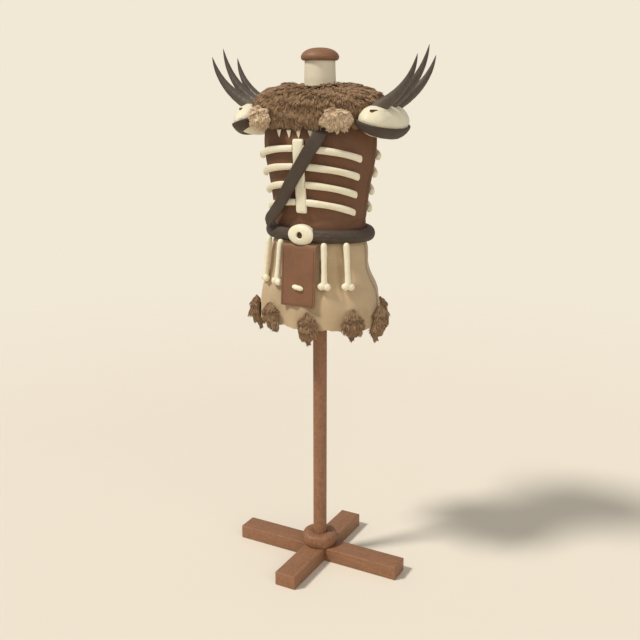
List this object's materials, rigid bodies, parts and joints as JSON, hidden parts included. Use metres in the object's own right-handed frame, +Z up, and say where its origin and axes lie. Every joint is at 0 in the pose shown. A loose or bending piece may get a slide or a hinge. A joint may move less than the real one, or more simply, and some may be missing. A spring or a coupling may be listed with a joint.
{
  "type": "bone armour on a dress form stand",
  "caption": "Leather and fur armour with bone ribs, skull shoulders and horns, a belted hide skirt and hanging bones, worn by a limbless dress form on a wooden cross stand.",
  "frame": {"origin": "on the floor under the pole's axis, at the middle of the cross base", "axes": "+Z up along the pole, -Y the wearer's front, +X the wearer's left"},
  "size_m": [0.6956, 0.484, 1.6871],
  "materials": {
    "stand_wood": "satin",
    "form_fabric": "matt woven",
    "vest_leather": "worn, matt",
    "flap_leather": "worn, matt",
    "dark_leather": "dull",
    "tanned_hide": "suede",
    "brown_fur": "fur",
    "tan_fur": "fur",
    "bone": "smooth bone",
    "horn": "dull horn"
  },
  "bodies": {
    "armour": {"beam_x": "stand_wood", "beam_y": "stand_wood", "hub": "stand_wood", "pole": "stand_wood", "form": "form_fabric", "cap": "stand_wood", "vest_front": "vest_leather", "vest_back": "vest_leather", "skirt_front": "tanned_hide", "skirt_back": "tanned_hide", "belt": "dark_leather", "boss": "bone", "flap": "flap_leather", "toggle": "bone", "sternum": "bone", "rib_right_1": "bone", "rib_left_1": "bone", "rib_back_1": "bone", "rib_right_2": "bone", "rib_left_2": "bone", "rib_back_2": "bone", "rib_right_3": "bone", "rib_left_3": "bone", "rib_back_3": "bone", "rib_right_4": "bone", "rib_left_4": "bone", "rib_back_4": "bone", "tooth_1": "bone", "tooth_2": "bone", "tooth_3": "bone", "tooth_4": "bone", "strap_front": "dark_leather", "strap_back": "dark_leather", "hem_tuft_1": "brown_fur", "hem_tuft_2": "brown_fur", "hem_tuft_3": "brown_fur", "hem_tuft_4": "brown_fur", "hem_tuft_5": "brown_fur", "hem_tuft_6": "brown_fur", "hem_tuft_7": "brown_fur", "hem_tuft_8": "brown_fur", "hem_tuft_9": "brown_fur", "mantle": "brown_fur", "tan_tuft_right": "tan_fur", "tan_tuft_left": "tan_fur", "skull_right": "bone", "skull_rim_right": "dark_leather", "horn_right_front": "horn", "horn_right_middle": "horn", "horn_right_rear": "horn", "skull_left": "bone", "skull_rim_left": "dark_leather", "horn_left_front": "horn", "horn_left_middle": "horn", "horn_left_rear": "horn"},
    "hanging_bone_right_outer": {"bone_right_outer": "bone"},
    "hanging_bone_right_inner": {"bone_right_inner": "bone"},
    "hanging_bone_left_inner": {"bone_left_inner": "bone"},
    "hanging_bone_left_outer": {"bone_left_outer": "bone"}
  },
  "joints": [
    {"name": "bone_right_outer_swing", "type": "hinge", "parent": "armour", "child": "hanging_bone_right_outer", "pos_m": [-0.1353, -0.08498, 1.1114], "axis": [-0.7842, 0.6205, 0], "range_deg": [0, 50]},
    {"name": "bone_right_inner_swing", "type": "hinge", "parent": "armour", "child": "hanging_bone_right_inner", "pos_m": [-0.07527, -0.11602, 1.1105], "axis": [-0.9502, 0.3116, 0], "range_deg": [0, 50]},
    {"name": "bone_left_inner_swing", "type": "hinge", "parent": "armour", "child": "hanging_bone_left_inner", "pos_m": [0.07527, -0.11602, 1.1105], "axis": [-0.9502, -0.3116, 0], "range_deg": [0, 50]},
    {"name": "bone_left_outer_swing", "type": "hinge", "parent": "armour", "child": "hanging_bone_left_outer", "pos_m": [0.1353, -0.08498, 1.1114], "axis": [-0.7842, -0.6205, 0], "range_deg": [0, 50]}
  ]
}
